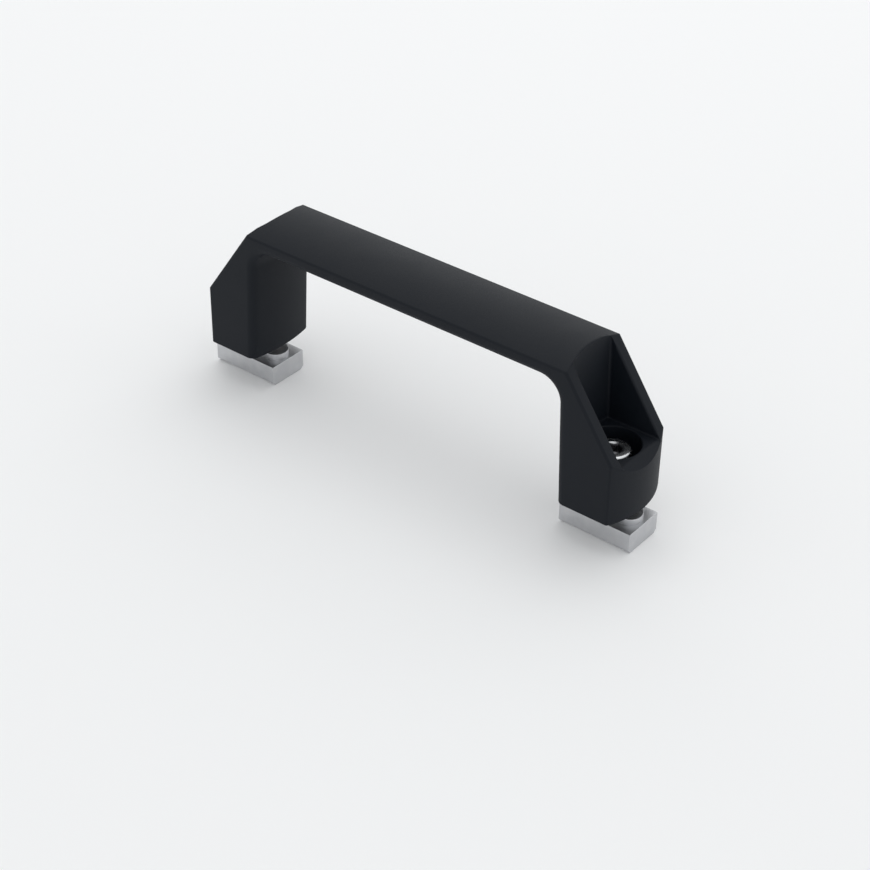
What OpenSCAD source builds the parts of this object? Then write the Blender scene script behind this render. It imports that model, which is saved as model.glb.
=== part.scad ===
// Bridge handle for aluminium profiles, with its two socket-head screws and two slot nuts.
// Origin: centre of the plane that the feet stand on. X runs along the handle, Z points up.

/* [Grip] */
// Width across the flat sides
grip_w = 25; // [22:0.5:32]
// Height of the side faces' top edge above the feet
side_h = 41.5; // [38:0.5:60]
// Height of the grip at its side faces, before its edges are rounded
side_band = 3.7; // [3.5:0.1:8]
// Rise of the crowned top above the side faces' top edge
crown_rise = 2.1; // [0.5:0.1:4]
// How far the palm side bows into the opening at mid-width
palm_bulge = 1.6; // [0.5:0.1:3]
// Rounding of the palm side's long edges
palm_edge_r = 2.5; // [1:0.1:2.6]
// Radius of the opening's upper corners, at the side faces
corner_r = 7; // [5:0.5:12]
// Rounding of the outer edges
edge_r = 0.8; // [0.3:0.1:1]

/* [Feet] */
// Distance between the two screw holes
hole_pitch = 128; // [110:1:200]
// From the hole's axis to the foot's inner corners
inner_reach = 8.7; // [8.5:0.1:12]
// From the hole's axis to the foot's outer corners
outer_reach = 7.4; // [7:0.1:12]
// How far the end face bows outwards at mid-width
end_bulge = 3.3; // [1:0.1:5]
// Lean of the legs' inner faces, in degrees
leg_draft = 2.3; // [0:0.1:4]
// Height of the end wall at the side faces
cheek_h = 19.1; // [18:0.1:24]
// Length along the handle that the slant takes
slant_run = 15.5; // [14:0.1:20]

/* [Screw pocket] */
// Thickness of the two cheeks beside the pocket
cheek_t = 3.7; // [2.5:0.1:4.5]
// Wall between the pocket and the opening
back_wall = 2.3; // [1.2:0.1:2.8]
// Rounding of the pocket's upright corners
pocket_r = 1.2; // [0.5:0.1:3]
// Rounding of the cheeks' inner ridges
ridge_r = 0.6; // [0.2:0.1:1]
// Rounding where the pocket's floor runs out into the slant
lip_r = 1.8; // [0.5:0.1:2]
// Height of the screw's seat above the feet
seat_h = 9.2; // [8:0.1:10]
// Depth of the screw head's top below the pocket's floor
head_cover = 1.8; // [1:0.1:2.6]
// Diameter of the counterbore
counterbore_d = 15.2; // [12:0.1:16]
// Gap between the screw's shank and its hole, all round
hole_gap = 0.3; // [0.1:0.1:0.6]

/* [Screw] */
// Thread diameter
screw_d = 6; // [5:0.5:8]
// Length below the head
screw_l = 20; // [16:1:25]
// Head diameter
head_d = 10; // [8.5:0.5:12]
// Head height
head_h = 6; // [5:0.5:6]
// Width of the hexagon socket across its flats
hex_af = 5; // [4:0.5:6]
// Depth of the hexagon socket
hex_depth = 3; // [2:0.1:4]
// Rounding of the head's upper edge
head_r = 0.9; // [0.3:0.1:1.2]

/* [Slot nut] */
// Opening of the slot that the nut slides in
slot_w = 8; // [8:0.1:10]
// Gap between the neck and the slot, on each side
neck_gap = 0.1; // [0.05:0.05:0.4]
// Thickness of the slot's lips
lip_t = 4.5; // [4:0.1:6]
// Depth of the neck's top below the feet
neck_drop = 2.6; // [2.2:0.1:3.4]
// Length of the body
nut_l = 23; // [18:0.5:30]
// Length of the neck, whose ends are round
neck_l = 21; // [15:0.5:30]
// Width of the body
nut_w = 13.5; // [12:0.1:18]
// Height of the body below the lips
nut_h = 6.5; // [5:0.1:8]
// Bevel along the body's lower edges
nut_bevel = 1; // [0.4:0.1:2]
// Gap between the thread's crest and the nut's bore, all round
thread_gap = 0.05; // [0.02:0.01:0.2]

/* [Hidden] */
$fn = 96;

// Allowance by which a cutter passes the surface that it cuts
past = 1;
// A rounding stands this much proud of the faces it joins, so that it crosses them cleanly
lap = 0.01;
half_w = grip_w / 2;
hole_x = hole_pitch / 2;
inner_x = hole_x - inner_reach;
outer_x = hole_x + outer_reach;
end_x = outer_x + end_bulge;
top_z = side_h + crown_rise;

// Axis of the rounded corner between a leg and the grip
corner_z = side_h - side_band - corner_r;
corner_x = inner_x - tan(leg_draft) * (corner_z + corner_r * sin(leg_draft)) - corner_r * cos(leg_draft);
// Depth of the swept section, from the corner's axis to beyond the outer form's farthest corner
sweep_depth = norm([end_x - corner_x, top_z - corner_z]) + past;
palm_r = bow_radius(grip_w, palm_bulge);

slant_angle = atan((side_h - cheek_h) / slant_run);
slant_l = norm([slant_run, side_h - cheek_h]);
pocket_w = grip_w - 2 * cheek_t;
// The pocket's wall stands beside the palm side: its place, its bow and its top in the corner's frame
pocket_x = corner_r - palm_bulge + back_wall;
pocket_bow_r = palm_r - back_wall;
pocket_top = top_z - corner_z + 2 * past;
floor_z = seat_h + head_h + head_cover;
hole_r = screw_d / 2 + hole_gap;

neck_w = slot_w - 2 * neck_gap;
nut_bottom = -lip_t - nut_h;
nut_bore_r = screw_d / 2 + thread_gap;
// Bevel of the nut's small edges, and of both mouths of its bore
small_bevel = 0.4;
// Depth of the bevel on the screw's tip
tip_bevel = screw_d / 8;

// Distance from a bowed side's apex to the centres of its corner roundings
function corner_inset(arc_r, half, r) = arc_r - sqrt(pow(arc_r - r, 2) - pow(half - r, 2));

// Radius of an arc that spans a width and rises by a bulge
function bow_radius(w, bulge) = (pow(w / 2, 2) + pow(bulge, 2)) / (2 * bulge);

// What a rounding removes between an arc around the origin and a straight side at y = half
module arc_corner_waste(arc_r, half, r) {
    inset = r - lap;
    centre = [corner_inset(arc_r, half, inset) - arc_r, half - inset];
    outward = centre / norm(centre);
    corner = [-sqrt(pow(arc_r, 2) - pow(half, 2)), half];
    difference() {
        polygon([centre, outward * (arc_r + past), corner + [-past, past], [centre.x, half + past]]);
        translate(centre) circle(r = r, $fn = 48);
    }
}

// Flat bar with a bowed end of radius arc_r: its apex at x = 0, its corners rounded
module bowed_bar(w, arc_r, depth, r) {
    difference() {
        intersection() {
            union() {
                translate([arc_r, 0]) circle(r = arc_r, $fn = 180);
                translate([arc_r, -w / 2]) square([depth, w]);
            }
            translate([0, -w / 2]) square([depth, w]);
        }
        for (side = [0, 1]) mirror([0, side]) translate([arc_r, 0]) arc_corner_waste(arc_r, w / 2, r);
    }
}

// Section that is swept round the opening: x is the distance from the corner's axis. A tuck draws
// its palm side in and rounds it a little more, so that it ends cleanly inside the straight stretches
module bow_section(tuck = 0) {
    translate([corner_r - palm_bulge + tuck, 0])
        bowed_bar(grip_w, palm_r, sweep_depth, palm_edge_r + 2 * tuck);
}

// Section of the pocket in the same frame, a wall's thickness behind the palm side
module pocket_section() {
    translate([pocket_x, 0]) bowed_bar(pocket_w, pocket_bow_r, sweep_depth, pocket_r);
}

// Moves a shape drawn in the corner's frame to the right-hand corner
module at_corner() {
    translate([corner_x, 0, corner_z]) children();
}

// Extrudes a section along the leaning leg, from below the foot to a height above the corner's axis
module along_leg(above) {
    down = corner_z + sweep_depth * sin(leg_draft) + past;
    at_corner() rotate([0, -leg_draft, 0]) rotate([180, 0, 0]) translate([0, 0, -above])
        linear_extrude(above + down) children();
}

// Leg and corner of one end, still open towards the outside. The leg runs on into the corner
module swept_end() {
    along_leg(past) bow_section();
    at_corner() rotate([90, 0, 0]) rotate([0, 0, leg_draft])
        rotate_extrude(angle = 90 - leg_draft) bow_section(tuck = 2 * lap);
}

module swept_bow() {
    for (side = [0, 1]) mirror([side, 0, 0]) swept_end();
    translate([0, 0, corner_z]) rotate([0, -90, 0])
        linear_extrude(2 * corner_x + 2 * past, center = true) bow_section();
}

// Outer form seen from above: flat sides and two bowed ends
module plan_outline() {
    end_r = bow_radius(grip_w, end_bulge);
    intersection() {
        translate([-end_x, 0]) bowed_bar(grip_w, end_r, 2 * end_x, edge_r);
        mirror([1, 0]) translate([-end_x, 0]) bowed_bar(grip_w, end_r, 2 * end_x, edge_r);
    }
}

// Outer form seen along the handle: flat sides under a crown
module crown_outline() {
    translate([0, top_z]) rotate(-90)
        bowed_bar(grip_w, bow_radius(grip_w, crown_rise), top_z + past, edge_r);
}

module outer_form() {
    intersection() {
        linear_extrude(top_z + past) plan_outline();
        rotate([90, 0, 90]) linear_extrude(2 * end_x + 2 * past, center = true) crown_outline();
    }
}

// What a rounding removes at an edge at the origin, where a face along -x turns down by an angle
module edge_waste(r, turn = 90) {
    inset = r - lap;
    centre = [-inset * tan(turn / 2), -inset];
    difference() {
        polygon([centre, centre + [0, inset + past], past * [tan(turn / 2), 1],
            centre + (inset + past) * [sin(turn), cos(turn)]]);
        translate(centre) circle(r = r, $fn = 48);
    }
}

// Extrudes a section along the slant: x points out of the slanted plane, y across the handle
module along_slant() {
    translate([outer_x, 0, cheek_h]) rotate([0, slant_angle - 90, 0]) translate([0, 0, -slant_l])
        linear_extrude(3 * slant_l) children();
}

// Everything beyond the slanted plane, with the outer edges rounded
module slant_waste() {
    along_slant() {
        translate([0, -half_w - past]) square([grip_w, grip_w + 2 * past]);
        for (side = [0, 1]) mirror([0, side]) translate([0, half_w]) edge_waste(edge_r);
    }
}

// Rounds the cheeks' inner ridges, from the pocket's upright corners outwards
module ridge_waste() {
    start_x = pocket_x + corner_inset(pocket_bow_r, pocket_w / 2, pocket_r);
    intersection() {
        along_slant() for (side = [0, 1]) mirror([0, side])
            translate([0, pocket_w / 2]) mirror([0, 1]) edge_waste(ridge_r);
        along_leg(pocket_top) translate([start_x, -half_w]) square([sweep_depth, grip_w]);
    }
}

// Everything above the pocket's floor, whose edge at the slant is rounded
module above_floor() {
    rotate([90, 0, 0]) linear_extrude(grip_w, center = true) {
        translate([0, floor_z]) square([2 * end_x, top_z]);
        translate([outer_x + (cheek_h - floor_z) / tan(slant_angle), floor_z]) edge_waste(lip_r, slant_angle);
    }
}

module pocket() {
    intersection() {
        union() {
            along_leg(pocket_top) pocket_section();
            ridge_waste();
        }
        above_floor();
    }
}

module screw_hole() {
    translate([hole_x, 0, 0]) {
        translate([0, 0, seat_h]) cylinder(d = counterbore_d, h = floor_z - seat_h + past);
        translate([0, 0, -past]) cylinder(r = hole_r, h = seat_h + 2 * past);
    }
}

module handle_body() {
    color([0.14, 0.15, 0.165]) difference() {
        intersection() {
            outer_form();
            swept_bow();
        }
        for (side = [0, 1]) mirror([side, 0, 0]) {
            slant_waste();
            pocket();
            screw_hole();
        }
    }
}

// Half section of the screw, with z = 0 at the head's seat
module screw_profile() {
    r = screw_d / 2;
    difference() {
        union() {
            translate([0, -screw_l]) square([r, screw_l + past]);
            square([head_d / 2, head_h]);
        }
        translate([head_d / 2, head_h]) edge_waste(head_r);
        polygon([
            [r - tip_bevel, -screw_l], [r + past, -screw_l + tip_bevel + past], [r + past, -screw_l - past],
            [r - tip_bevel - past, -screw_l - past]
        ]);
    }
}

module screw(side) {
    socket_r = hex_af / 2 / cos(30);
    color([0.78, 0.79, 0.8]) translate([side * hole_x, 0, seat_h]) difference() {
        rotate_extrude() screw_profile();
        translate([0, 0, head_h - hex_depth]) cylinder(r = socket_r, h = hex_depth + past, $fn = 6);
        translate([0, 0, head_h - hex_depth - hex_af / 4]) cylinder(r1 = 0, r2 = hex_af / 2, h = hex_af / 4);
        translate([0, 0, head_h - small_bevel])
            cylinder(r1 = hex_af / 2, r2 = hex_af / 2 + 2 * small_bevel, h = 2 * small_bevel);
    }
}

// Section of the nut's body across the slot
module nut_body_section() {
    half = nut_w / 2;
    polygon([
        [-half + small_bevel, -lip_t], [half - small_bevel, -lip_t], [half, -lip_t - small_bevel],
        [half, nut_bottom + nut_bevel], [half - nut_bevel, nut_bottom], [-half + nut_bevel, nut_bottom],
        [-half, nut_bottom + nut_bevel], [-half, -lip_t - small_bevel]
    ]);
}

// Section of the nut's neck across the slot
module nut_neck_section() {
    half = neck_w / 2;
    polygon([
        [-half, -lip_t - small_bevel], [half, -lip_t - small_bevel], [half, -neck_drop - small_bevel],
        [half - small_bevel, -neck_drop], [-half + small_bevel, -neck_drop], [-half, -neck_drop - small_bevel]
    ]);
}

// Extrudes a section given in y and z along the slot
module along_slot(l) {
    rotate([90, 0, 90]) linear_extrude(l, center = true) children();
}

module nut_neck() {
    intersection() {
        along_slot(neck_l) nut_neck_section();
        translate([0, 0, nut_bottom]) linear_extrude(-nut_bottom) {
            square([neck_l - neck_w, neck_w], center = true);
            for (end = [-1, 1]) translate([end * (neck_l - neck_w) / 2, 0]) circle(d = neck_w);
        }
    }
}

module slot_nut(side) {
    color([0.72, 0.73, 0.74]) translate([side * hole_x, 0, 0]) difference() {
        union() {
            along_slot(nut_l) nut_body_section();
            nut_neck();
        }
        translate([0, 0, nut_bottom - past]) cylinder(r = nut_bore_r, h = -nut_bottom + past);
        translate([0, 0, -neck_drop - small_bevel])
            cylinder(r1 = nut_bore_r, r2 = nut_bore_r + 2 * small_bevel, h = 2 * small_bevel);
        translate([0, 0, nut_bottom - small_bevel])
            cylinder(r1 = nut_bore_r + 2 * small_bevel, r2 = nut_bore_r, h = 2 * small_bevel);
    }
}

handle_body();
screw(-1);  // screw_left
screw(1);  // screw_right
slot_nut(-1);  // slot_nut_left
slot_nut(1);  // slot_nut_right
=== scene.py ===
# Bridge handle on two slot nuts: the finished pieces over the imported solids, with floor, light and camera.
import math

import bpy
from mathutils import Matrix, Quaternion, Vector


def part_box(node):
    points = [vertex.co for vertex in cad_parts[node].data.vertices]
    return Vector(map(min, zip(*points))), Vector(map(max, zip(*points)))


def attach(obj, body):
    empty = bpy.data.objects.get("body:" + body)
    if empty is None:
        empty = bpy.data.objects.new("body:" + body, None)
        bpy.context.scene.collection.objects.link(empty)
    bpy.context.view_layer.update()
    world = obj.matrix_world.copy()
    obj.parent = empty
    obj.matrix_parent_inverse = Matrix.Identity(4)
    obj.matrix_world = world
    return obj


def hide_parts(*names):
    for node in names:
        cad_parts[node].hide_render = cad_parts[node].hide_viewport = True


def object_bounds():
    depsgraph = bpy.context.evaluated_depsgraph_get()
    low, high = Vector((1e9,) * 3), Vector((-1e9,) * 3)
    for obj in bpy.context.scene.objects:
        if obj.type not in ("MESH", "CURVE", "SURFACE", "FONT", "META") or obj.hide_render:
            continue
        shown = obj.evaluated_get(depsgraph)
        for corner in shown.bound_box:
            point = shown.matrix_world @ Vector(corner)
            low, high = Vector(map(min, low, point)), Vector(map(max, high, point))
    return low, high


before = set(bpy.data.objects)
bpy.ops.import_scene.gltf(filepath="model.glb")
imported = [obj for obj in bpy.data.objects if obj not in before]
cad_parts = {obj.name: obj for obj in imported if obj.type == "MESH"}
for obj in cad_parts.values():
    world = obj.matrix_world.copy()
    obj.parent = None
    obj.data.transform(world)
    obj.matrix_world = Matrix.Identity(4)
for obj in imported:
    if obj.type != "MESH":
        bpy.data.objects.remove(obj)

cad_low, cad_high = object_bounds()

MM = 0.001
X = Vector((1, 0, 0))
Y = Vector((0, 1, 0))
Z = Vector((0, 0, 1))

# Outer size of the moulding, from the frame
body_low, body_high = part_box("handle_body")
grip_w = body_high.y - body_low.y
half_w = grip_w / 2
end_x = body_high.x
top_z = body_high.z

# Grip
crown_rise = 2.1 * MM
side_h = top_z - crown_rise
side_band = 3.7 * MM
palm_bulge = 1.6 * MM
palm_edge_r = 2.5 * MM
corner_r = 7 * MM
edge_r = 0.8 * MM

# Screws, from the frame
screw_low, screw_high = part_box("screw_right")
hole_x = (screw_low.x + screw_high.x) / 2
head_r = (screw_high.x - screw_low.x) / 2
head_top = screw_high.z
head_h = 6 * MM
head_round = 0.9 * MM
shank_r = 3 * MM
hex_af = 5 * MM
hex_depth = 3 * MM
seat_h = head_top - head_h
tip_bevel = 0.75 * MM
small_bevel = 0.4 * MM
knurl_depth = 0.13 * MM
knurl_margin = 0.5 * MM
knurl_gap = knurl_margin / 4

# Thread, with its depth and its flanks as fractions of the pitch
pitch = 1 * MM
thread_depth = 0.613 * pitch
flank = 0.354 * pitch
crest = 0.125 * pitch

# Feet
hole_to_inner = 8.7 * MM
hole_to_outer = 7.4 * MM
inner_x = hole_x - hole_to_inner
outer_x = hole_x + hole_to_outer
end_bulge = end_x - outer_x
leg_draft = math.radians(2.3)
cheek_h = 19.1 * MM
slant_run = 15.5 * MM
slant_angle = math.atan2(side_h - cheek_h, slant_run)

# Pocket
cheek_w = 3.7 * MM
pocket_w = grip_w - 2 * cheek_w
back_wall = 2.3 * MM
pocket_r = 0.8 * MM
head_sink = 1.8 * MM
floor_z = head_top + head_sink
floor_r = 0.5 * MM
lip_r = 1.8 * MM
lip_lean = math.radians(2)
counterbore_r = 7.6 * MM
hole_play = 0.3 * MM
hole_r = shank_r + hole_play

# Roundings that the mould leaves on the cut edges
ridge_r = 0.55 * MM
wall_r = 0.5 * MM
end_r = 0.4 * MM
crown_r = 0.3 * MM
rim_r = 0.25 * MM
base_r = 0.25 * MM

# Length in which a rounding runs out before a narrow corner, and the lowest place of the crown's edges
ridge_run_out = 2 * MM
wall_run_out = 3 * MM
crown_run_out = 1 * MM
crown_band = 1.45 * crown_rise
crown_low = top_z - crown_band

# Slot nuts, from the frame
nut_low, nut_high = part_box("slot_nut_right")
shoulder_z = -4.5 * MM
neck_w = 7.8 * MM
neck_l = 21 * MM
nut_bore_r = 3.05 * MM
nut_bevel = 1 * MM

# Steps of the curves, and the sides of the screws' sockets
BOW_STEPS = 28
ARC_STEPS = 6
CORNER_STEPS = 24
RING_STEPS = 96
BORE_STEPS = 48
HEAD_STEPS = 144
THREAD_STEPS = 32
HEX_SIDES = 6

# Steps across a rounding of the moulding, and the extra cuts that let roundings and shading run out softly
ROUNDING_STEPS = 4
RIDGE_CUTS = 35
CROSS_CUTS = 4
CUT_GAP = 1 * MM
first_grip_cut = inner_x - 2 * MM
first_foot_cut = cheek_h - 8 * MM

# How far a cutter passes what it cuts, and the tolerances of the mesh tools
PAST = 1 * MM
NEAR = 0.01 * MM
MERGED = 0.001 * MM
FLAT = math.radians(0.05)
SHARP = math.radians(30)
SHARP_ON_SCREW = math.radians(20)

# Height of a face's normal below which the face looks down
LOOKS_DOWN = -0.3

# The edge attribute that the bevel reads, and the width that its weight 1 stands for
BEVEL_WEIGHT = "bevel_weight_edge"
FULL_WEIGHT = 1 * MM

# Axis of the corner between leg and grip, and the directions of the leg and of the slant
corner_z = side_h - side_band - corner_r
corner_x = (inner_x - math.tan(leg_draft) * (corner_z + corner_r * math.sin(leg_draft))
            - corner_r * math.cos(leg_draft))
corner_axis = Vector((corner_x, 0, corner_z))
up_the_leg = Vector((-math.sin(leg_draft), 0, math.cos(leg_draft)))
down_the_slant = Vector((math.cos(slant_angle), 0, -math.sin(slant_angle)))
sweep_depth = math.hypot(end_x - corner_x, top_z - corner_z) + PAST


# Mesh tools
def bow_radius(width, bulge):
    """Radius of an arc that spans a width and rises by a bulge."""
    return ((width / 2) ** 2 + bulge ** 2) / (2 * bulge)


palm_r = bow_radius(grip_w, palm_bulge)


def new_point(name, place):
    """Starts a piece as a single vertex at a place, in edit mode."""
    bpy.ops.object.select_all(action="DESELECT")
    bpy.ops.mesh.primitive_plane_add(size=MM)
    piece = bpy.context.object
    piece.name = name
    bpy.ops.object.mode_set(mode="EDIT")
    bpy.ops.mesh.select_mode(type="VERT")
    bpy.ops.mesh.select_all(action="SELECT")
    bpy.ops.mesh.merge(type="CENTER")
    bpy.ops.transform.translate(value=place)
    return piece


def draw_line(step):
    """Extends an outline by one straight line."""
    bpy.ops.mesh.extrude_vertices_move(TRANSFORM_OT_translate={"value": step})


def spin(centre, axis, turn, steps):
    """Spins what is selected by a right-handed turn."""
    bpy.ops.mesh.spin(steps=steps, angle=-turn, center=centre, axis=axis)


def turn_all(axis, turn):
    """Turns the whole mesh about an axis through the origin, right-handed."""
    bpy.ops.mesh.select_all(action="SELECT")
    bpy.ops.transform.rotate(value=-turn, orient_axis=axis, center_override=(0, 0, 0))


def move_all(step):
    """Moves the whole mesh."""
    bpy.ops.mesh.select_all(action="SELECT")
    bpy.ops.transform.translate(value=step)


def pull(step):
    """Extrudes the selected face."""
    bpy.ops.mesh.extrude_region_move(TRANSFORM_OT_translate={"value": step})


def fill_outline():
    """Closes an outline with one flat face."""
    bpy.ops.mesh.select_all(action="SELECT")
    bpy.ops.mesh.edge_face_add()


def close_piece():
    """Merges what lies together, turns the faces outwards and leaves edit mode."""
    bpy.ops.mesh.select_all(action="SELECT")
    bpy.ops.mesh.remove_doubles(threshold=MERGED)
    bpy.ops.mesh.normals_make_consistent(inside=False)
    bpy.ops.object.mode_set(mode="OBJECT")


def choose(piece):
    """Makes a piece the only selected and the active one."""
    bpy.ops.object.select_all(action="DESELECT")
    bpy.context.view_layer.objects.active = piece
    piece.select_set(True)


def select_parts(kind, parts, wanted):
    """Selects the vertices, edges or faces that pass a test, and goes on in edit mode."""
    bpy.ops.object.mode_set(mode="EDIT")
    bpy.ops.mesh.select_mode(type=kind)
    bpy.ops.mesh.select_all(action="DESELECT")
    bpy.ops.object.mode_set(mode="OBJECT")
    for part in parts:
        part.select = wanted(part)
    bpy.ops.object.mode_set(mode="EDIT")


def modify(piece, kind, **settings):
    """Adds a modifier with its settings and applies it."""
    choose(piece)
    modifier = piece.modifiers.new(kind.title(), kind)
    for name, value in settings.items():
        setattr(modifier, name, value)
    bpy.ops.object.modifier_apply(modifier=modifier.name)


def combine(piece, operation, other):
    """Cuts, keeps or adds what another piece fills, and removes that piece."""
    modify(piece, "BOOLEAN", operation=operation, solver="EXACT", object=other)
    bpy.data.objects.remove(other)


def ends_of(piece, edge):
    """Places of an edge's two ends."""
    return [piece.data.vertices[corner].co for corner in edge.vertices]


def middle_of(piece, edge):
    """Place of an edge's middle."""
    start, end = ends_of(piece, edge)
    return (start + end) / 2


def length_of(piece, edge):
    """Length of an edge."""
    start, end = ends_of(piece, edge)
    return (end - start).length


def round_edges(piece, rounding, steps):
    """Rounds each sharp edge by the width that a rule gives for its middle."""
    choose(piece)
    bpy.ops.object.mode_set(mode="EDIT")
    bpy.ops.mesh.select_mode(type="EDGE")
    bpy.ops.mesh.select_all(action="DESELECT")
    bpy.ops.mesh.edges_select_sharp(sharpness=SHARP)
    bpy.ops.object.mode_set(mode="OBJECT")
    weights = piece.data.attributes.new(BEVEL_WEIGHT, "FLOAT", "EDGE")
    for edge in piece.data.edges:
        if edge.select:
            weights.data[edge.index].value = rounding(middle_of(piece, edge)) / FULL_WEIGHT
    modify(piece, "BEVEL", limit_method="WEIGHT", width=FULL_WEIGHT, segments=steps,
           use_clamp_overlap=False)
    piece.data.attributes.remove(piece.data.attributes[BEVEL_WEIGHT])


def finish_surface(piece):
    """Smooths the shading across roundings and keeps flat faces flat."""
    choose(piece)
    bpy.ops.object.shade_smooth_by_angle(angle=SHARP)
    modify(piece, "WEIGHTED_NORMAL", keep_sharp=True)


def turned_cutter(name, sides, low_r, high_r, low, high):
    """An upright cylinder or cone around the Z axis, between two heights."""
    bpy.ops.object.select_all(action="DESELECT")
    bpy.ops.mesh.primitive_cone_add(vertices=sides, radius1=low_r, radius2=high_r, depth=high - low)
    piece = bpy.context.object
    piece.name = name
    bpy.ops.object.mode_set(mode="EDIT")
    move_all((0, 0, (low + high) / 2))
    bpy.ops.object.mode_set(mode="OBJECT")
    return piece


def shift(piece, step):
    """Moves a piece's mesh, so that its object stays at the origin."""
    choose(piece)
    bpy.ops.object.mode_set(mode="EDIT")
    move_all(step)
    bpy.ops.object.mode_set(mode="OBJECT")


# Moulded handle
def bowed_face(name, width, bow_r, depth, corner):
    """A flat face on the floor plane. Its bowed side looks along -X with the apex at the origin."""
    half = width / 2
    lean = math.asin((half - corner) / (bow_r - corner))
    centre = Vector((bow_r - (bow_r - corner) * math.cos(lean), half - corner, 0))
    piece = new_point(name, (depth, half, 0))
    draw_line((centre.x - depth, 0, 0))
    spin(centre, Z, math.pi / 2 - lean, ARC_STEPS)
    spin((bow_r, 0, 0), Z, 2 * lean, BOW_STEPS)
    spin((centre.x, -centre.y, 0), Z, math.pi / 2 - lean, ARC_STEPS)
    draw_line((depth - centre.x, 0, 0))
    fill_outline()
    return piece


def stand_on_leg(inset):
    """Puts a bowed face square to the leg, below the foot, and pulls it up to the corner's axis."""
    below = (corner_z + sweep_depth * math.sin(leg_draft) + PAST) / math.cos(leg_draft)
    move_all((corner_r - palm_bulge + inset, 0, 0))
    turn_all("Y", -leg_draft)
    move_all(corner_axis - below * up_the_leg)
    pull(below * up_the_leg)


def swept_bow():
    """Leg, corner and half of the grip as one sweep of the palm section."""
    piece = bowed_face("moulded_handle", grip_w, palm_r, sweep_depth, palm_edge_r)
    stand_on_leg(0)
    spin(corner_axis, Y, leg_draft - math.pi / 2, CORNER_STEPS)
    pull((-corner_x - PAST, 0, 0))
    close_piece()
    return piece


def plan_prism():
    """Outer form seen from above, as a block on the mounting plane."""
    piece = bowed_face("plan", grip_w, bow_radius(grip_w, end_bulge), end_x + PAST, edge_r)
    turn_all("Z", math.pi)
    move_all((end_x, 0, 0))
    pull((0, 0, top_z + PAST))
    close_piece()
    return piece


def crown_prism():
    """Outer form seen along the handle, as a block from the middle to beyond the end."""
    piece = bowed_face("crown", grip_w, bow_radius(grip_w, crown_rise), top_z + PAST, edge_r)
    turn_all("Y", math.pi / 2)
    move_all((-PAST, 0, top_z))
    pull((end_x + 2 * PAST, 0, 0))
    close_piece()
    return piece


def slant_prism():
    """Everything inside the slanted plane, as a bar along the slant with its two outer edges rounded."""
    reach = end_x + top_z
    piece = new_point("slant", (reach, half_w, 0))
    draw_line((edge_r - reach, 0, 0))
    spin((edge_r, half_w - edge_r, 0), Z, math.pi / 2, ARC_STEPS)
    draw_line((0, 2 * edge_r - grip_w, 0))
    spin((edge_r, edge_r - half_w, 0), Z, math.pi / 2, ARC_STEPS)
    draw_line((reach - edge_r, 0, 0))
    fill_outline()
    turn_all("Y", math.pi / 2 + slant_angle)
    move_all(Vector((outer_x, 0, cheek_h)) - reach * down_the_slant)
    pull(2 * reach * down_the_slant)
    close_piece()
    return piece


def above_floor():
    """The block above the pocket's floor, whose floor runs out into the slant by a long rounding."""
    turn = slant_angle - lip_lean
    lip_x = outer_x + (cheek_h - floor_z) / math.tan(slant_angle)
    round_x = lip_x - lip_r * math.tan(slant_angle / 2)
    start_x = inner_x - 2 * back_wall
    run = end_x - outer_x + PAST
    drop = run * math.tan(turn)
    low_z = floor_z - lip_r * (1 - math.cos(turn)) - drop
    piece = new_point("above_floor", (start_x, -half_w, floor_z))
    draw_line((round_x - start_x, 0, 0))
    spin((round_x, -half_w, floor_z - lip_r), Y, turn, ARC_STEPS)
    draw_line((run, 0, -drop))
    draw_line((0, 0, top_z + PAST - low_z))
    draw_line((start_x - round_x - lip_r * math.sin(turn) - run, 0, 0))
    fill_outline()
    pull((0, grip_w, 0))
    close_piece()
    return piece


def pocket_block():
    """What the pocket takes out of the leg, with a fillet along its floor."""
    piece = bowed_face("pocket", pocket_w, palm_r - back_wall, sweep_depth, pocket_r)
    stand_on_leg(back_wall)
    pull((top_z - corner_z + PAST) * up_the_leg)
    close_piece()
    combine(piece, "INTERSECT", above_floor())
    select_parts("FACE", piece.data.polygons, lambda face: face.normal.z < LOOKS_DOWN)
    bpy.ops.mesh.region_to_loop()
    bpy.ops.mesh.bevel(offset=floor_r, segments=ROUNDING_STEPS, affect="EDGES")
    close_piece()
    return piece


def along_ridge(place):
    """Whether a place is on the inner edge of a cheek, in the slanted plane."""
    above_slant = (place.x - outer_x) * math.sin(slant_angle) + (place.z - cheek_h) * math.cos(slant_angle)
    return abs(above_slant) < NEAR and abs(place.y) < pocket_w / 2 + NEAR


def part_way(room, length):
    """A share that grows from 0, where there is no room, to 1, from a given length on."""
    return max(0, min(1, room / length))


def mould_rounding(middle):
    """Width of the rounding on one of the moulding's cut edges. It runs out before the narrow corners."""
    across = abs(middle.y)
    past_pocket = across - pocket_w / 2
    before_side = half_w - edge_r - across
    if middle.z < NEAR:
        return base_r
    if math.hypot(middle.x - hole_x, middle.y) < counterbore_r + NEAR:
        return rim_r if middle.z > floor_z - NEAR else 0
    if middle.z > crown_low:
        on_wall = part_way(-past_pocket - pocket_r, wall_run_out)
        on_crown = part_way(min(past_pocket, before_side), crown_run_out)
        return wall_r * on_wall + crown_r * on_crown
    if along_ridge(middle):
        room = min(middle.z - floor_z - floor_r, crown_low - middle.z)
        return ridge_r * part_way(room, ridge_run_out)
    at_lip = past_pocket < -pocket_r
    on_cheek = past_pocket > crown_r and before_side > 0
    return end_r if at_lip or on_cheek else 0


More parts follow.
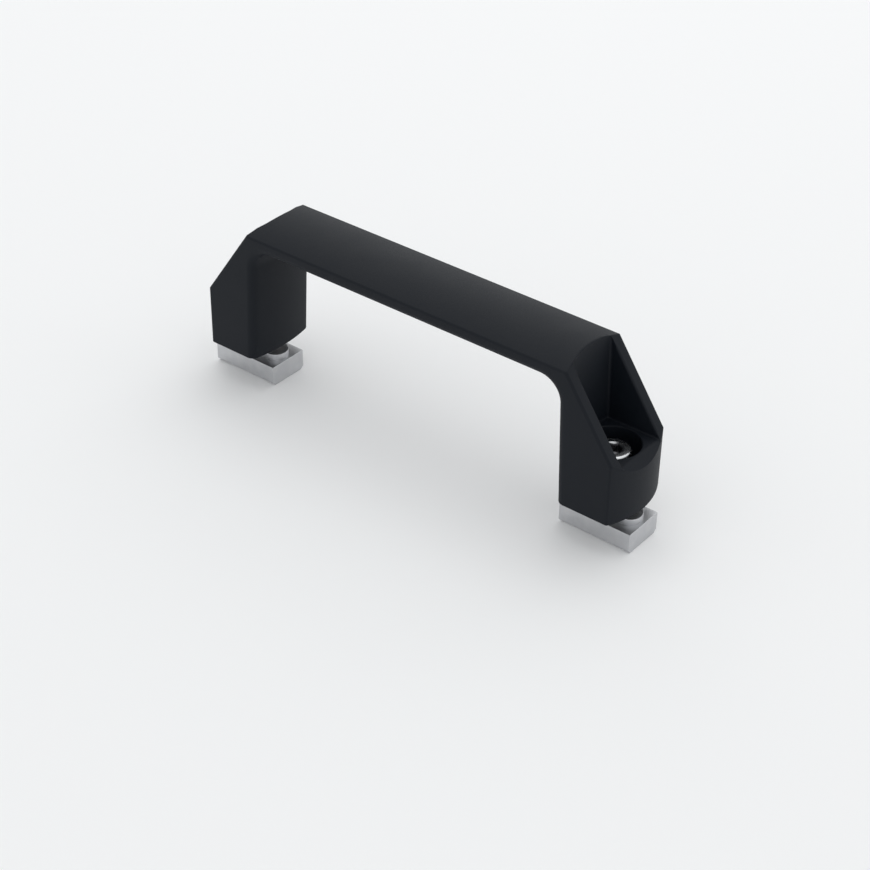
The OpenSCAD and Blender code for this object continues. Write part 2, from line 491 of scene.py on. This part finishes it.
def cut_screw_hole(piece):
    """Cuts the counterbore for the screw's head and the hole for its shank."""
    for name, radius, low, high in (("counterbore", counterbore_r, seat_h, floor_z + PAST),
                                    ("hole", hole_r, -PAST, seat_h + PAST)):
        cutter = turned_cutter(name, RING_STEPS, radius, radius, low, high)
        shift(cutter, (hole_x, 0, 0))
        combine(piece, "DIFFERENCE", cutter)


def trim_to_half(piece):
    """Cuts the piece off at the middle plane, and clears the edges that lie in flat faces."""
    choose(piece)
    bpy.ops.object.mode_set(mode="EDIT")
    bpy.ops.mesh.select_all(action="SELECT")
    bpy.ops.mesh.bisect(plane_co=(0, 0, 0), plane_no=X, clear_inner=True)
    bpy.ops.mesh.select_all(action="SELECT")
    bpy.ops.mesh.dissolve_limited(angle_limit=FLAT)
    close_piece()


def add_cuts(piece):
    """Divides the cheeks' inner edges, and cuts across the grip and the foot next to their rounded ends."""
    select_parts("EDGE", piece.data.edges, lambda edge: length_of(piece, edge) > pocket_w / 2
                 and along_ridge(middle_of(piece, edge)))
    bpy.ops.mesh.subdivide(number_cuts=RIDGE_CUTS)
    for cut in range(CROSS_CUTS):
        for first, normal in ((first_grip_cut, X), (first_foot_cut, Z)):
            bpy.ops.mesh.select_all(action="SELECT")
            bpy.ops.mesh.bisect(plane_co=(first - cut * CUT_GAP) * normal, plane_no=normal)
    close_piece()


def moulded_handle():
    """The sweep cut to its outer form and hollowed, one half rounded and mirrored."""
    piece = swept_bow()
    combine(piece, "INTERSECT", plan_prism())
    combine(piece, "INTERSECT", crown_prism())
    combine(piece, "INTERSECT", slant_prism())
    combine(piece, "DIFFERENCE", pocket_block())
    cut_screw_hole(piece)
    trim_to_half(piece)
    add_cuts(piece)
    round_edges(piece, mould_rounding, ROUNDING_STEPS)
    modify(piece, "TRIANGULATE", min_vertices=5)
    modify(piece, "MIRROR", use_axis=(True, False, False), merge_threshold=MERGED)
    finish_surface(piece)
    return piece


# Socket screws
def screw_head():
    """The head as a turned solid with a stub of the shank, and with straight knurling around its side."""
    knurl_top = head_top - head_round - knurl_gap
    knurl_low = seat_h + knurl_margin
    piece = new_point("cap_screw_right", (0, 0, head_top))
    draw_line((head_r - head_round, 0, 0))
    spin((head_r - head_round, 0, head_top - head_round), Y, math.pi / 2, ARC_STEPS)
    for drop in (knurl_gap, knurl_depth, knurl_top - knurl_low - 2 * knurl_depth, knurl_depth,
                 knurl_low - seat_h - small_bevel):
        draw_line((0, 0, -drop))
    draw_line((-small_bevel, 0, -small_bevel))
    draw_line((shank_r - head_r + small_bevel, 0, 0))
    draw_line((0, 0, -pitch / 2))
    draw_line((-thread_depth, 0, -pitch / 2))
    draw_line((0, 0, -pitch / 2))
    draw_line((thread_depth - shank_r, 0, 0))
    bpy.ops.mesh.select_all(action="SELECT")
    spin((0, 0, 0), Z, 2 * math.pi, HEAD_STEPS)
    close_piece()

    def in_a_groove(vertex):
        column = round(math.atan2(vertex.co.y, vertex.co.x) / (2 * math.pi) * HEAD_STEPS)
        on_side = math.hypot(vertex.co.x, vertex.co.y) > head_r - NEAR
        return on_side and column % 2 == 1 and knurl_low < vertex.co.z < knurl_top - knurl_depth / 2

    select_parts("VERT", piece.data.vertices, in_a_groove)
    shrink = 1 - knurl_depth / head_r
    bpy.ops.transform.resize(value=(shrink, shrink, 1), center_override=(0, 0, 0))
    bpy.ops.object.mode_set(mode="OBJECT")
    return piece


def threaded_shank():
    """The thread as one long helical surface, closed, then cut to length with a bevelled tip."""
    turns_below = 2
    turns_above = 1
    turns = turns_below + math.ceil((seat_h - screw_low.z) / pitch) + turns_above
    piece = new_point("thread", (shank_r - thread_depth, 0, screw_low.z - turns_below * pitch))
    draw_line((0, 0, pitch - crest - 2 * flank))
    draw_line((thread_depth, 0, flank))
    draw_line((0, 0, crest))
    draw_line((-thread_depth, 0, flank))
    bpy.ops.object.mode_set(mode="OBJECT")
    modify(piece, "SCREW", screw_offset=pitch, iterations=turns, steps=THREAD_STEPS,
           render_steps=THREAD_STEPS, use_merge_vertices=True, merge_threshold=MERGED)
    bpy.ops.object.mode_set(mode="EDIT")
    bpy.ops.mesh.select_all(action="SELECT")
    bpy.ops.mesh.remove_doubles(threshold=MERGED)
    bpy.ops.mesh.select_all(action="SELECT")
    bpy.ops.mesh.fill_holes(sides=0)
    close_piece()
    envelope = new_point("envelope", (0, 0, screw_low.z))
    draw_line((shank_r - tip_bevel, 0, 0))
    draw_line((tip_bevel + PAST, 0, tip_bevel + PAST))
    draw_line((0, 0, seat_h - pitch - screw_low.z - tip_bevel - PAST))
    draw_line((-shank_r - PAST, 0, 0))
    bpy.ops.mesh.select_all(action="SELECT")
    spin((0, 0, 0), Z, 2 * math.pi, RING_STEPS)
    close_piece()
    combine(piece, "INTERSECT", envelope)
    return piece


def cap_screw():
    """Head and shank as one solid, with a six-sided socket, its drilled point and its chamfered mouth."""
    piece = screw_head()
    combine(piece, "UNION", threaded_shank())
    flat_r = hex_af / 2
    point_r = flat_r / math.cos(math.pi / HEX_SIDES)
    socket_low = head_top - hex_depth
    mouth_low = head_top - small_bevel
    mouth_high = head_top + small_bevel
    for cutter in (
        turned_cutter("socket", HEX_SIDES, point_r, point_r, socket_low, head_top + PAST),
        turned_cutter("socket_point", RING_STEPS, 0, flat_r, socket_low - flat_r / 2, socket_low),
        turned_cutter("socket_mouth", RING_STEPS, flat_r, flat_r + 2 * small_bevel, mouth_low, mouth_high),
    ):
        combine(piece, "DIFFERENCE", cutter)
    choose(piece)
    bpy.ops.object.shade_smooth_by_angle(angle=SHARP_ON_SCREW)
    shift(piece, (hole_x, 0, 0))
    return piece


# Slot nuts
def nut_body():
    """The rectangular body, with its two lower long edges bevelled."""
    size = Vector((nut_high.x - nut_low.x, nut_high.y - nut_low.y, shoulder_z - nut_low.z))
    bpy.ops.object.select_all(action="DESELECT")
    bpy.ops.mesh.primitive_cube_add(size=1)
    piece = bpy.context.object
    piece.name = "slot_nut_right_finished"
    bpy.ops.object.mode_set(mode="EDIT")
    bpy.ops.transform.resize(value=size, center_override=(0, 0, 0))
    move_all((0, 0, shoulder_z - size.z / 2))
    close_piece()

    def body_rounding(middle):
        on_long_edge = middle.z < nut_low.z + NEAR and abs(middle.x) < NEAR
        return nut_bevel if on_long_edge else 0

    round_edges(piece, body_rounding, steps=1)
    return piece


def nut_neck():
    """The raised neck, with round ends."""
    reach = (neck_l - neck_w) / 2
    piece = new_point("neck", (-reach, -neck_w / 2, shoulder_z - PAST))
    draw_line((2 * reach, 0, 0))
    spin((reach, 0, 0), Z, math.pi, 2 * ARC_STEPS)
    draw_line((-2 * reach, 0, 0))
    spin((-reach, 0, 0), Z, math.pi, 2 * ARC_STEPS)
    close_piece()
    bpy.ops.object.mode_set(mode="EDIT")
    fill_outline()
    pull((0, 0, nut_high.z - shoulder_z + PAST))
    close_piece()
    return piece


def slot_nut():
    """Body and neck as one solid, with its bore."""
    piece = nut_body()
    combine(piece, "UNION", nut_neck())
    bore_low = nut_low.z - PAST
    bore_high = nut_high.z + PAST
    bore = turned_cutter("bore", BORE_STEPS, nut_bore_r, nut_bore_r, bore_low, bore_high)
    combine(piece, "DIFFERENCE", bore)

    def nut_rounding(middle):
        if math.hypot(middle.x, middle.y) < nut_bore_r + NEAR:
            return small_bevel
        within_neck = abs(middle.x) < neck_l / 2 + NEAR and abs(middle.y) < neck_w / 2 + NEAR
        at_neck_foot = within_neck and abs(middle.z - shoulder_z) < NEAR
        return 0 if at_neck_foot else small_bevel / 2

    round_edges(piece, nut_rounding, steps=2)
    finish_surface(piece)
    shift(piece, (hole_x, 0, 0))
    return piece


def twin(piece, name):
    """The same piece at the other screw hole, with its own mesh."""
    choose(piece)
    bpy.ops.object.duplicate(linked=False)
    copy = bpy.context.object
    copy.name = name
    shift(copy, (-2 * hole_x, 0, 0))
    return copy


# Shader maths, with the places of the colour sockets on a Mix node
MIX_FACTOR = 0
MIX_FIRST = 6
MIX_SECOND = 7
MIX_COLOUR = 2


class Wire:
    """An output of a material's nodes. Arithmetic on it adds the Math nodes that work it out."""

    def __init__(self, tree, socket):
        self.tree = tree
        self.socket = socket

    def node(self, kind, settings, values, output=0):
        """Adds any node: its settings are set first, then the values or the links of its sockets."""
        added = self.tree.nodes.new(kind)
        for name, setting in settings.items():
            setattr(added, name, setting)
        for name, value in values.items():
            if isinstance(value, Wire):
                self.tree.links.new(value.socket, added.inputs[name])
            else:
                added.inputs[name].default_value = value
        return Wire(self.tree, added.outputs[output])

    def maths(self, operation, *values):
        """A Math node for an operation on numbers and wires."""
        return self.node("ShaderNodeMath", {"operation": operation}, dict(enumerate(values)))

    def __add__(self, other):
        return self.maths("ADD", self, other)

    def __sub__(self, other):
        return self.maths("SUBTRACT", self, other)

    def __rsub__(self, other):
        return self.maths("SUBTRACT", other, self)

    def __mul__(self, other):
        return self.maths("MULTIPLY", self, other)

    __radd__ = __add__
    __rmul__ = __mul__

    def __abs__(self):
        return self.maths("ABSOLUTE", self)

    def root(self):
        """The square root of this wire."""
        return self.maths("SQRT", self)

    def at_most(self, limit):
        """The smaller of this wire and a limit."""
        return self.maths("MINIMUM", self, limit)

    def is_below(self, limit):
        """1 where this wire is below a limit, and 0 elsewhere."""
        return self.maths("LESS_THAN", self, limit)

    def part(self, axis):
        """One coordinate of a vector."""
        return self.node("ShaderNodeSeparateXYZ", {}, {"Vector": self}, axis)

    def noise(self, size, detail):
        """Soft noise with features of a size, from 0 to 1."""
        return self.node("ShaderNodeTexNoise", {}, {"Vector": self, "Scale": 1 / size, "Detail": detail})

    def rings(self, size, detail):
        """Noise along one number, from 0 to 1. On a radius it makes rings of a size."""
        values = {"W": self, "Scale": 1 / size, "Detail": detail}
        return self.node("ShaderNodeTexNoise", {"noise_dimensions": "1D"}, values)

    def blend(self, first, second):
        """A colour between two, by this wire from 0 to 1."""
        values = {MIX_FACTOR: self, MIX_FIRST: (*first, 1), MIX_SECOND: (*second, 1)}
        return self.node("ShaderNodeMix", {"data_type": "RGBA"}, values, MIX_COLOUR)

    def bump(self, distance):
        """A surface normal raised by this wire from 0 to 1, at full distance."""
        return self.node("ShaderNodeBump", {}, {"Height": self, "Strength": 1, "Distance": distance})


# Finishes
def new_material(name, constants):
    """A material whose shader has its constants set, with the wire of its object coordinates."""
    material = bpy.data.materials.new(name)
    material.use_nodes = True
    tree = material.node_tree
    for socket, value in constants.items():
        tree.nodes["Principled BSDF"].inputs[socket].default_value = value
    place = Wire(tree, None).node("ShaderNodeTexCoord", {}, {}, "Object")
    return material, place


def feed(material, wires):
    """Links what changes over the surface to the shader."""
    tree = material.node_tree
    for socket, wire in wires.items():
        tree.links.new(wire.socket, tree.nodes["Principled BSDF"].inputs[socket])


def black_plastic():
    """Glass-filled plastic from an eroded mould: nearly black, with a fine grain and faint flow marks."""
    darkest = (0.0034, 0.0053, 0.0088)
    lightest = (0.006, 0.0083, 0.0128)
    grain_depth = 0.05 * MM
    material, place = new_material("black_plastic", {"Specular IOR Level": 0.2})
    grain = place.noise(0.22 * MM, 3)
    flow = place.noise(9 * MM, 4)
    speckle = place.noise(0.6 * MM, 1)
    feed(material, {
        "Base Color": (flow * 0.6 + speckle * 0.4).blend(darkest, lightest),
        "Roughness": 0.5 + flow * 0.08 + grain * 0.08,
        "Normal": (grain * 0.7 + speckle * 0.3).bump(grain_depth),
    })
    return material


def turned_steel():
    """Bright plated steel, turned, with fine rings around the screw's axis, and painted shade darkening the
    socket's hollow.
    """
    bright = (0.74, 0.75, 0.76)
    # Painted shade: a dark grey laid into the socket's hollow, where shade falls
    painted_shade = (0.2, 0.2, 0.21)
    ring_size = MM / 9
    ring_depth = 0.006 * MM
    socket_r = 0.6 * hex_af
    fade_depth = 1 * MM
    material, place = new_material("turned_steel", {"Metallic": 1})
    across = abs(place.part("X")) - hole_x
    along = place.part("Y")
    radius = (across * across + along * along).root()
    rings = radius.rings(ring_size, 1)
    stain = place.noise(1.8 * MM, 3)
    depth = (head_top - place.part("Z")) * (1 / fade_depth)
    # Painted shade in the socket: none at its mouth, full from a millimetre down
    painted_shade_mask = radius.is_below(socket_r) * depth.at_most(1)
    feed(material, {
        "Base Color": painted_shade_mask.blend(bright, painted_shade),
        "Roughness": 0.2 + rings * 0.08 + stain * 0.06,
        "Normal": rings.bump(ring_depth),
    })
    return material


def drawn_steel():
    """Plated drawn steel, brushed along its length."""
    dark = (0.5, 0.51, 0.53)
    light = (0.66, 0.66, 0.67)
    stretch = (0.03, 1, 1)
    brushing_depth = 0.02 * MM
    material, place = new_material("drawn_steel", {"Metallic": 1})
    stretched = place.node("ShaderNodeMapping", {}, {"Vector": place, "Scale": stretch})
    brushing = stretched.noise(0.15 * MM, 3)
    stain = place.noise(3 * MM, 3)
    feed(material, {
        "Base Color": stain.blend(dark, light),
        "Roughness": 0.26 + brushing * 0.18 + stain * 0.08,
        "Normal": brushing.bump(brushing_depth),
    })
    return material


# The pieces, each in place of its solid
def dress(piece, node, material):
    """Puts a finished piece in place of a solid, with its material."""
    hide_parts(node)
    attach(piece, "root")
    piece.data.materials.clear()
    piece.data.materials.append(material)


dress(moulded_handle(), "handle_body", black_plastic())
right_screw = cap_screw()
left_screw = twin(right_screw, "cap_screw_left")
screw_paint = turned_steel()
dress(right_screw, "screw_right", screw_paint)
dress(left_screw, "screw_left", screw_paint)
right_nut = slot_nut()
left_nut = twin(right_nut, "slot_nut_left_finished")
nut_paint = drawn_steel()
dress(right_nut, "slot_nut_right", nut_paint)
dress(left_nut, "slot_nut_left", nut_paint)

# Camera, at the photograph's angle. Its lens and sensor are in millimetres
azimuth = math.radians(37.96)
elevation = math.radians(34.76)
roll = math.radians(1.0)
aim = Vector((26.34, -28.57, 17.86)) * MM
distance = 516.75 * MM
lens = 80.9
sensor = 36
nearest = 10 * MM
farthest = 20
back = Vector((math.sin(azimuth) * math.cos(elevation),
               -math.cos(azimuth) * math.cos(elevation),
               math.sin(elevation)))
bpy.ops.object.select_all(action="DESELECT")
bpy.ops.object.camera_add(location=aim + distance * back)
camera = bpy.context.object
camera.rotation_mode = "QUATERNION"
camera.rotation_quaternion = (-back).to_track_quat("-Z", "Y") @ Quaternion(Z, roll)
camera.data.sensor_width = sensor
camera.data.lens = lens
camera.data.clip_start = nearest
camera.data.clip_end = farthest
bpy.context.scene.camera = camera


# Floor and lights, in metres
floor_size = 6
floor_white = (0.92, 0.92, 0.92, 1)
floor_roughness = 0.9
sky_white = (0.975, 0.99, 1, 1)
sky_level = 0.85
light_level = 0.5


def pale_floor():
    """A plain floor just under the nuts."""
    bpy.ops.object.select_all(action="DESELECT")
    bpy.ops.mesh.primitive_plane_add(size=floor_size)
    floor = bpy.context.object
    floor.name = "floor"
    shift(floor, (0, 0, cad_low.z))
    paint = bpy.data.materials.new("floor_paint")
    paint.use_nodes = True
    shader = paint.node_tree.nodes["Principled BSDF"]
    shader.inputs["Base Color"].default_value = floor_white
    shader.inputs["Roughness"].default_value = floor_roughness
    floor.data.materials.append(paint)


def soft_light(name, place, width, height):
    """A rectangular light aimed at the handle, whose face looks as bright as a white of the light level."""
    bpy.ops.object.select_all(action="DESELECT")
    bpy.ops.object.light_add(type="AREA", location=place)
    lamp = bpy.context.object
    lamp.name = name
    lamp.data.shape = "RECTANGLE"
    lamp.data.size = width
    lamp.data.size_y = height
    lamp.data.energy = light_level * math.pi * width * height
    lamp.rotation_mode = "QUATERNION"
    lamp.rotation_quaternion = (-Vector(place)).to_track_quat("-Z", "Y")
    lamp.visible_camera = False


pale_floor()
soft_light("light_behind", place=(-0.5, 1.3, 0.6), width=2.2, height=1.0)
soft_light("light_above", place=(-0.2, 0.35, 1.5), width=1.4, height=1.4)

world = bpy.data.worlds.new("studio")
bpy.context.scene.world = world
world.use_nodes = True
sky = world.node_tree.nodes["Background"]
sky.inputs["Color"].default_value = sky_white
sky.inputs["Strength"].default_value = sky_level

bpy.context.scene.view_settings.view_transform = "Standard"
